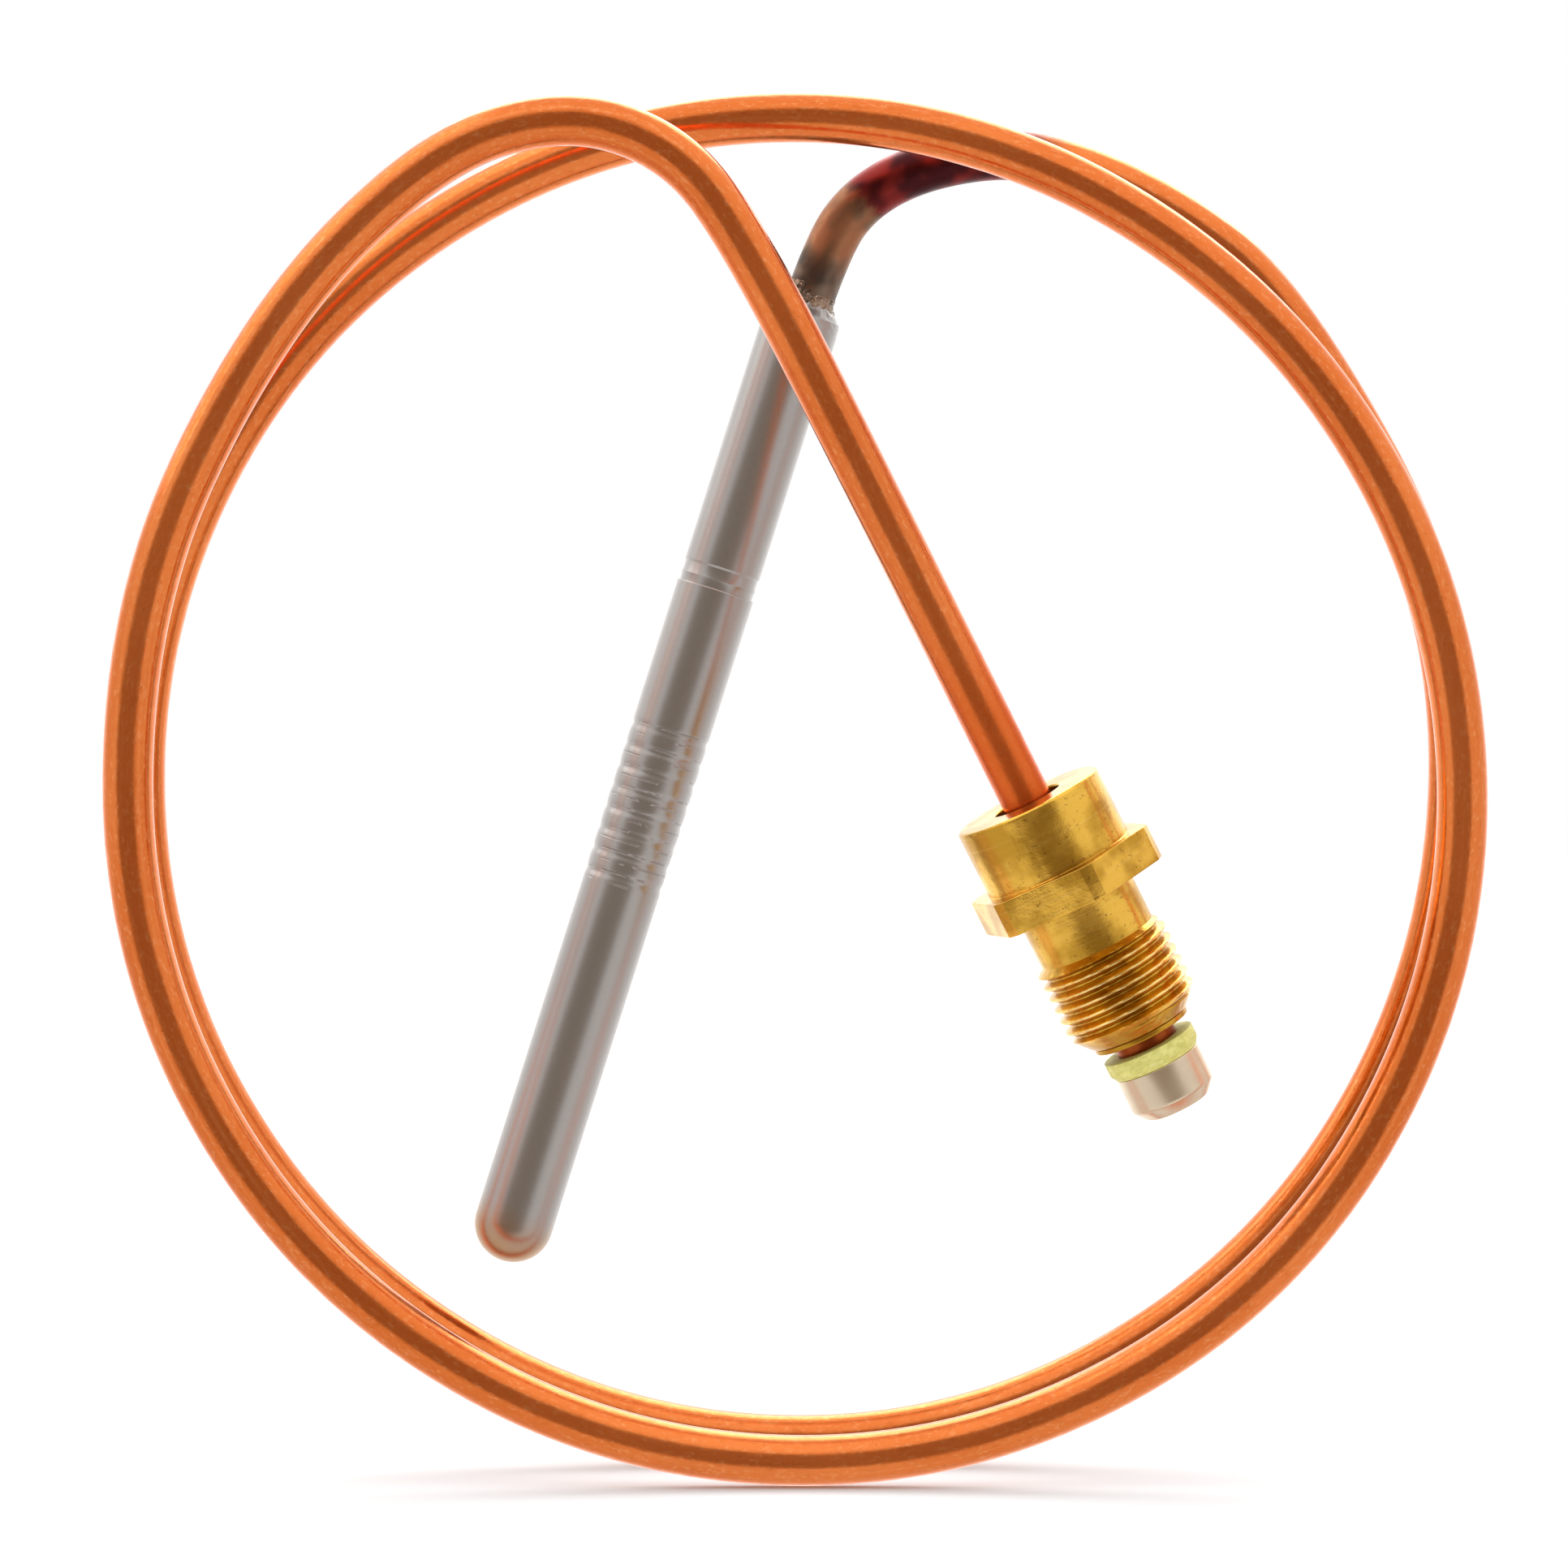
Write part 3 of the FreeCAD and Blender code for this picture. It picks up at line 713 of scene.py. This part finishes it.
COPPER = copper_lead()
STEEL = satin_steel()
BRAZE = brazed_joint()
BRASS = turned_brass()
CRIMPED = crimped_copper()
FIBRE = fibre_board()
CONTACT = tinned_contact()
GLASS_BRAID = woven_glass()
SOLDER = inner_finish(
    "soft_solder", colour(0.72, 0.71, 0.68), colour(0.42, 0.41, 0.39), 1.2, 0.3, 1.0, 0.03 * MM
)
INNER_FINISHES = {
    "hot_junction": inner_finish(
        "weld_bead", colour(0.46, 0.42, 0.40), colour(0.20, 0.17, 0.16), 0.9, 0.4, 1.0, 0.05 * MM
    ),
    "thermo_rod": inner_finish(
        "constantan", colour(0.62, 0.56, 0.49), colour(0.45, 0.39, 0.33), 0.6, 0.3, 1.0, 0.01 * MM
    ),
    "front_insulator": inner_finish(
        "fired_ceramic", colour(0.88, 0.85, 0.78), colour(0.74, 0.70, 0.61), 0.5, 0.55, 0.0, 0.02 * MM
    ),
    "cold_ferrule": inner_finish(
        "ferrule_copper", colour(0.80, 0.25, 0.07), colour(0.48, 0.12, 0.03), 0.8, 0.3, 1.0, 0.02 * MM
    ),
    "cold_sleeve": inner_finish(
        "sleeve_glass", colour(0.82, 0.79, 0.70), colour(0.58, 0.54, 0.45), 1.6, 0.8, 0.0, 0.06 * MM
    ),
    "cement_plug": inner_finish(
        "set_cement", colour(0.70, 0.66, 0.58), colour(0.47, 0.43, 0.36), 1.1, 0.85, 0.0, 0.08 * MM
    ),
}
INNER_FINISHES["middle_insulator"] = INNER_FINISHES["front_insulator"]
INNER_FINISHES["rear_insulator"] = INNER_FINISHES["front_insulator"]


# ---- Pieces ---------------------------------------------------------------------------------


def add_piece(piece, body, node):
    """Hang a piece on a CAD body, in place of a node, which is hidden."""
    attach(piece, body)
    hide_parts(node)


def add_lead():
    """The copper tube, which is returned, with the braid and the wire inside it."""
    line = smooth_line(route(LEAD_START, LEAD_END))
    tube = swept_tube("copper_tube", line, LEAD_OUTER, LEAD_BORE, LEAD_SIDES, COPPER)
    add_piece(tube, "lead_assembly", "lead_tube")
    line = smooth_line(route(BRAID_START, BRAID_END))
    braid = swept_tube("glass_sleeving", line, BRAID_OUTER, BRAID_BORE, BRAID_SIDES, GLASS_BRAID)
    add_piece(braid, "lead_assembly", "lead_braid")
    line = smooth_line(route(WIRE_START, WIRE_END))
    wire = swept_tube("core_wire", line, WIRE_OUTER, 0.0, WIRE_SIDES, COPPER)
    add_piece(wire, "lead_assembly", "lead_wire")
    return tube


def declare_lead():
    """The lead is one stiff, formed copper tube, with its fitting on the far end; this only works out
    its smooth line again, and leaves it unused.
    """
    line = smooth_line(route(LEAD_START, LEAD_END))


def bead_depth(height):
    """How deep the rolled rings are at a height: low, round beads with narrower troughs."""
    phase = (height - ROLL_FIRST) / ROLL_PITCH
    if not -0.5 < phase < ROLL_COUNT - 0.5:
        return 0.0
    wave = 0.5 + 0.5 * math.cos(math.tau * phase)
    return ROLL_DEPTH * wave**3


def rolled_shape(angle, radius, height):
    """The sheath's outside, with rolled rings that are a little uneven round the probe."""
    if radius < SHEATH_BORE * 1.05 or height < ROLL_FIRST - ROLL_PITCH:
        return radius
    uneven = 1 + ROLL_UNEVENNESS * noise.noise(noise_place(angle, 1.3, height, ROLL_PITCH))
    return radius - bead_depth(height) * uneven


def add_sheath():
    """The probe's front half: a round tip, the rolled rings and an eased lip at the open end."""
    rounds = 12
    tip = []
    for step in range(rounds + 1):
        angle = math.pi / 2 * step / rounds
        tip.append((SHEATH_RADIUS * math.sin(angle), SHEATH_RADIUS * (1 - math.cos(angle))))
    per_ring = 14
    zone_start = ROLL_FIRST - ROLL_PITCH / 2
    rings = []
    for step in range(ROLL_COUNT * per_ring + 1):
        rings.append((SHEATH_RADIUS, zone_start + ROLL_PITCH * step / per_ring))
    end = [
        (SHEATH_RADIUS, SHEATH_HEIGHT - SHEATH_LIP),
        (SHEATH_RADIUS - SHEATH_LIP * 0.4, SHEATH_HEIGHT - SHEATH_LIP * 0.25),
        (SHEATH_RADIUS - SHEATH_LIP, SHEATH_HEIGHT),
        (SHEATH_BORE, SHEATH_HEIGHT),
        (SHEATH_BORE, SHEATH_NOSE),
        (0.0, SHEATH_NOSE),
    ]
    outline = tip + rings + end
    sheath = lathe("probe_sheath", PROBE_PLACE, outline, STEEL, shape=rolled_shape)
    add_piece(sheath, "lead_assembly", "hot_sheath")


def pressed_shape(angle, radius, height):
    """The shell's outside, round below and pressed in unevenly at its shoulder."""
    if radius < SOCKET_RADIUS * 1.05 or height < PRESSED_START:
        return radius
    share = min(1.0, (height - PRESSED_START) / PRESSED_RUN)
    around = noise_place(angle, 1.8, height, 1.1 * MM)
    dent = abs(noise.noise(around)) + 0.35 * abs(noise.noise(around * 2.7))
    return max(SOCKET_RADIUS, radius - share * PRESSED_DEPTH * dent)


def add_shell():
    """The probe's rear half: a spigot in the sheath, a step line and a pressed shoulder."""
    collar = [(SHELL_RADIUS, height) for height in evenly(PRESSED_START, SHOULDER_START, 8)]
    shoulder = []
    for inset, rise in ((0.12, -0.62), (0.32, -0.38), (0.55, -0.12), (0.75, 0.08)):
        shoulder.append((SHELL_RADIUS - inset * MM, PROBE_HEIGHT + rise * MM))
    outline = [
        (SPIGOT_BORE, SPIGOT_START),
        (SPIGOT_RADIUS, SPIGOT_START),
        (SPIGOT_RADIUS, SHEATH_HEIGHT),
        (SWAGE_RADIUS, SHEATH_HEIGHT),
        (SWAGE_RADIUS, SHEATH_HEIGHT + 0.35 * MM),
        (SWAGE_RADIUS + 0.05 * MM, SHEATH_HEIGHT + 0.55 * MM),
        (SWAGE_RADIUS, SHEATH_HEIGHT + 0.8 * MM),
        (SWAGE_RADIUS, SHELL_FLOOR - 0.12 * MM),
        (SHELL_RADIUS, SHELL_FLOOR + 0.02 * MM),
        *collar,
        *shoulder,
        (SOCKET_RADIUS, PROBE_HEIGHT + 0.15 * MM),
        (SOCKET_RADIUS, SHELL_ROOF),
        (SHELL_BORE, SHELL_ROOF),
        (SHELL_BORE, SHELL_FLOOR),
        (SPIGOT_BORE, SHELL_FLOOR),
    ]
    shell = lathe("probe_shell", PROBE_PLACE, outline, STEEL, shape=pressed_shape)
    add_piece(shell, "lead_assembly", "cold_shell")


def lumpy_shape(angle, radius, height):
    """A fillet of braze that ran unevenly round the lead, with a torn upper edge."""
    if radius < BRAZE_BORE * 1.001:
        return radius
    around = noise_place(angle, 1.4, height, 0.7 * MM)
    lump = 0.12 * MM * noise.noise(around) + 0.11 * MM * noise.noise(around * 3.1)
    return max(radius + lump, LEAD_OUTER / 2 - 0.04 * MM)


def add_braze():
    rings = 14
    fillet = []
    for step in range(rings + 1):
        share = step / rings
        radius = BRAZE_TOP_RADIUS + BRAZE_FLARE * (1 - share) ** 1.5
        fillet.append((radius, BRAZE_START + (BRAZE_END - BRAZE_START) * share))
    outline = [(BRAZE_BORE, BRAZE_START), *fillet, (BRAZE_BORE, BRAZE_END)]
    braze = lathe("braze_fillet", PROBE_PLACE, outline, BRAZE, shape=lumpy_shape)
    add_piece(braze, "lead_assembly", "root_braze")


def hexagon(angle):
    """How far the hexagon reaches at an angle, with its corners turned off."""
    sixth = math.tau / 6
    from_flat = (angle + sixth / 2) % sixth - sixth / 2
    return min(HEX_RADIUS, HEX_APOTHEM / math.cos(from_flat))


def thread_cut(angle, height):
    """How deep the right-hand thread is cut here, from 0 at a crest to 1 at a root."""
    turn = (height - NECK_END) / THREAD_PITCH - angle / math.tau
    from_root = abs(turn - round(turn))
    depth = min(1.0, max(0.0, (THREAD_CREST - from_root) / THREAD_FLANK))
    return 0.5 * depth + 0.5 * depth * depth * (3 - 2 * depth)


def worn(angle, radius, height):
    """How strong the burrs of a worn edge are at a point, from 0 where there are none."""
    around = Vector((radius * math.cos(angle), radius * math.sin(angle), height)) / BURR_SIZE
    burr = abs(noise.noise(around)) * (0.5 + noise.noise(around * 0.37))
    return max(0.0, burr)


def nut_shape(angle, radius, height):
    """The nut's outside: six flats on the flange, the thread's groove, and a worn boss foot."""
    if radius < NUT_BORE * 1.1:
        return radius
    if BOSS_END - BOSS_FOOT < height < BOSS_END - WELD and radius > BOSS_RADIUS * 0.98:
        near = 1 - (BOSS_END - height) / BOSS_FOOT
        return radius + FOOT_BURR * near * worn(angle, radius, height)
    if BOSS_END - WELD <= height <= HEX_END + WELD:
        inner = BOSS_RADIUS if height < (BOSS_END + HEX_END) / 2 else NECK_RADIUS
        if radius <= inner:
            return radius
        return inner + (radius - inner) * (hexagon(angle) - inner) / (HEX_RADIUS - inner)
    if NECK_END <= height <= NUT_END:
        cut = THREAD_RADIUS - THREAD_DEPTH * thread_cut(angle, height)
        return min(radius, cut) - THREAD_WEAR * worn(angle, radius, height)
    return radius


def thread_envelope(height):
    """The thread's outside before it is cut: lead-in from the neck, and the coned nose."""
    lead_in = NECK_RADIUS + (height - NECK_END) * THREAD_LEAD_IN
    cone = (height - THREAD_END) / (NUT_END - THREAD_END)
    nose = THREAD_RADIUS + (NOSE_RADIUS - THREAD_RADIUS) * cone
    return min(THREAD_RADIUS, lead_in, nose)


def add_nut():
    """The nut: eased corners up to the neck, then the thread's rings. The last two corners only
    steer the rounding of the others."""
    corners = [
        (NUT_BORE, 0.0),
        (BOSS_RADIUS, 0.0),
        (BOSS_RADIUS, BOSS_END),
        (HEX_RADIUS, BOSS_END),
        (HEX_RADIUS, HEX_END),
        (NECK_RADIUS, HEX_END),
        (NECK_RADIUS, NECK_END),
        (NUT_BORE, NECK_END),
    ]
    rounding = [0.15 * MM, 0.28 * MM, 0.06 * MM, 0.10 * MM, 0.10 * MM, 0.08 * MM, 0, 0]
    kept_corners = len(corners) - 2
    unthreaded = eased(corners, rounding)[: kept_corners * (ROUND_STEPS + 1)]
    heights = evenly(NECK_END, NUT_END, THREAD_RINGS)
    thread = [(thread_envelope(height), height) for height in heights]
    mouth = [
        (NOSE_RADIUS - NUT_LIP, NUT_END + 0.3 * NUT_LIP),
        (NUT_BORE + 2 * NUT_LIP, NUT_END + 0.3 * NUT_LIP),
        (NUT_BORE, NUT_END - NUT_LIP),
    ]
    outline = [*unthreaded, *thread, *mouth]
    nut = lathe("brass_nut", NUT_PLACE, outline, BRASS, NUT_SIDES, nut_shape)
    add_piece(nut, "nut", "connector_nut")


def add_ring():
    outline = eased(
        [
            (RING_BORE, RING_START),
            (RING_RADIUS, RING_START),
            (RING_RADIUS, RING_END),
            (RING_BORE, RING_END),
        ],
        0.1 * MM,
    )
    ring = lathe("slip_washer", CONNECTION_PLACE, outline, BRASS)
    add_piece(ring, "ring", "slip_ring")


def crimp_shape(angle, radius, height):
    """The end cap's outside, drawn in slightly where it is crimped to the lead."""
    if radius < LEAD_OUTER / 2 + 0.1 * MM:
        return radius
    around = noise_place(angle, 1.2, height, 0.5 * MM)
    return radius - 0.05 * MM * (0.5 + noise.noise(around))


def add_cap():
    inside = LEAD_OUTER / 2 + 0.02 * MM
    wall_start = CAP_START + 0.2 * MM
    wall = [(CAP_RADIUS, height) for height in evenly(wall_start, CAP_END, 10)]
    outline = [
        (inside, CAP_START),
        (CAP_RADIUS - CAP_CHAMFER, CAP_START),
        *wall,
        (CAP_HOLE, CAP_END),
        (CAP_HOLE, CAP_FLOOR),
        (inside, CAP_FLOOR),
    ]
    cap = lathe("end_sleeve", CONNECTION_PLACE, outline, CRIMPED, shape=crimp_shape)
    add_piece(cap, "lead_assembly", "end_cap")


def board_shape(angle, radius, height):
    """The washer's rim, cut from board and a little ragged."""
    if radius < CONTACT_RADIUS * 0.9:
        return radius
    around = noise_place(angle, 5, height, 0.25 * MM)
    return radius + 0.035 * MM * noise.noise(around)


def add_washer():
    outline = eased(
        [
            (CAP_HOLE, CAP_END),
            (WASHER_RADIUS, CAP_END),
            (WASHER_RADIUS, (CAP_END + WASHER_STEP) / 2),
            (WASHER_RADIUS, WASHER_STEP),
            (CONTACT_RADIUS, WASHER_END),
            (CAP_HOLE, WASHER_END),
        ],
        0.06 * MM,
    )
    washer = lathe("fibre_washer", CONNECTION_PLACE, outline, FIBRE, shape=board_shape)
    add_piece(washer, "lead_assembly", "insulating_washer")


def add_contact():
    outline = eased(
        [
            (CONTACT_BORE, WASHER_END),
            (CONTACT_RADIUS, WASHER_END),
            (CONTACT_RADIUS, CONTACT_BEVEL),
            (CONTACT_FACE, CONTACT_END),
            (SOLDER_RADIUS, CONTACT_END),
            (CONTACT_BORE, CONTACT_END - SOLDER_DEPTH),
        ],
        0.12 * MM,
    )
    contact = lathe("contact_button", CONNECTION_PLACE, outline, CONTACT)
    add_piece(contact, "lead_assembly", "contact_tip")
    crown = []
    steps = 8
    for step in range(steps + 1):
        share = step / steps
        height = CONTACT_END - 0.02 * MM + SOLDER_CROWN * (1 - share * share)
        crown.append((SOLDER_RADIUS * share, height))
    well = [
        (CONTACT_BORE, CONTACT_END - SOLDER_DEPTH),
        (0.0, CONTACT_END - SOLDER_DEPTH),
    ]
    solder = lathe("solder_dot", CONNECTION_PLACE, crown + well, SOLDER)
    add_piece(solder, "lead_assembly", "contact_solder")


def finish_inner_nodes():
    """The CAD pieces that stay as they are, inside the probe, get their own finishes."""
    for node, material in INNER_FINISHES.items():
        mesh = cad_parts[node].data
        mesh.materials.clear()
        mesh.materials.append(material)


# ---- Studio ---------------------------------------------------------------------------------


def add_camera():
    camera = bpy.data.objects.new("camera", bpy.data.cameras.new("camera"))
    camera.data.sensor_width = SENSOR
    camera.data.lens = SENSOR * CAMERA_DISTANCE / CAMERA_WIDTH
    camera.location = (CAD_CENTRE.x + CAMERA_ASIDE, -CAMERA_DISTANCE, CAD_CENTRE.z)
    camera.rotation_euler = (math.pi / 2, 0, 0)
    bpy.context.scene.collection.objects.link(camera)
    bpy.context.scene.camera = camera


def add_area_light(name, place, aim, width, height, power):
    light = bpy.data.lights.new(name, "AREA")
    light.shape = "RECTANGLE"
    light.size = width
    light.size_y = height
    light.energy = power
    lamp = bpy.data.objects.new(name, light)
    lamp.location = place
    lamp.rotation_euler = (aim - place).to_track_quat("-Z", "Y").to_euler()
    bpy.context.scene.collection.objects.link(lamp)


def add_surround():
    """A white tent, brighter overhead and behind, with a dim patch where its opening is. Seen
    directly, and not in a reflection, it is plain white."""
    world = bpy.data.worlds.new("surround")
    bpy.context.scene.world = world
    world.use_nodes = True
    made = Nodes(world.node_tree)
    direction = made.node("TexCoord").node.outputs["Generated"]
    flattened = made.stretched(direction, (1, 1, 1 / OPENING_HEIGHT))
    aim = made.node("VectorMath", {0: flattened}, operation="NORMALIZE")
    facing = made.node("VectorMath", {0: aim, 1: OPENING_AXIS}, operation="DOT_PRODUCT")
    parts = made.node("SeparateXYZ", {0: direction}).node.outputs
    opening = made.between(facing.node.outputs["Value"], *OPENING_EDGE)
    ceiling = made.between(parts["Z"], *CEILING_RISE, TENT_LEVEL, TENT_LEVEL * CEILING_LEVEL)
    behind = made.between(parts["Y"], *BACK_RISE, 1.0, BACK_LEVEL)
    level = made.math("MULTIPLY", ceiling, behind)
    cloth = made.node("CombineColor", {"Red": level, "Green": level, "Blue": level})
    tent = made.mix(opening, cloth, OPENING_COLOUR)
    seen_directly = made.node("LightPath").node.outputs["Is Camera Ray"]
    seen = made.mix(seen_directly, tent, WHITE)
    made.connect(seen, world.node_tree.nodes["Background"].inputs["Color"])


def add_floor():
    """The floor: paper painted greyer near the loop and whiter far off to even out the lamps' light,
    glowing faintly, and left out of what glossy surfaces reflect.
    """
    made = Material("floor_paper", Roughness=0.9, Specular_IOR_Level=0.1, Emission_Strength=0.05)
    place = made.object_place()
    fibre = made.noise(place, cells(0.05, 0.05, 0.05), detail=2.0)
    # Painted light: the paper is darker where the lamps light it most and lighter where their light
    # has fallen off.
    near = made.mix(fibre, colour(0.725, 0.745, 0.755), colour(0.735, 0.755, 0.765))
    far = made.between(made.length(place), *FLOOR_FADE)
    paper = made.mix(far, near, colour(0.97, 0.97, 0.97))
    made.connect(paper, made.surface.inputs["Base Color"])
    mesh = bpy.data.meshes.new("floor")
    half = FLOOR_SIZE / 2
    corners = [(-half, -half, 0), (half, -half, 0), (half, half, 0), (-half, half, 0)]
    mesh.from_pydata(corners, [], [(0, 1, 2, 3)])
    mesh.materials.append(made.data)
    floor = bpy.data.objects.new("floor", mesh)
    floor.location.z = CAD_BOX[0].z - FLOOR_GAP
    bpy.context.scene.collection.objects.link(floor)
    floor.visible_glossy = False


def light_studio():
    add_surround()
    for name, offset, width, height, power in SOFTBOXES:
        add_area_light(name, CAD_CENTRE + Vector(offset), CAD_CENTRE, width, height, power)
    bpy.context.scene.view_settings.view_transform = "Standard"


add_camera()
lead = add_lead()
add_sheath()
add_shell()
add_braze()
add_nut()
add_ring()
add_cap()
add_washer()
add_contact()
declare_lead()
finish_inner_nodes()
add_floor()
light_studio()
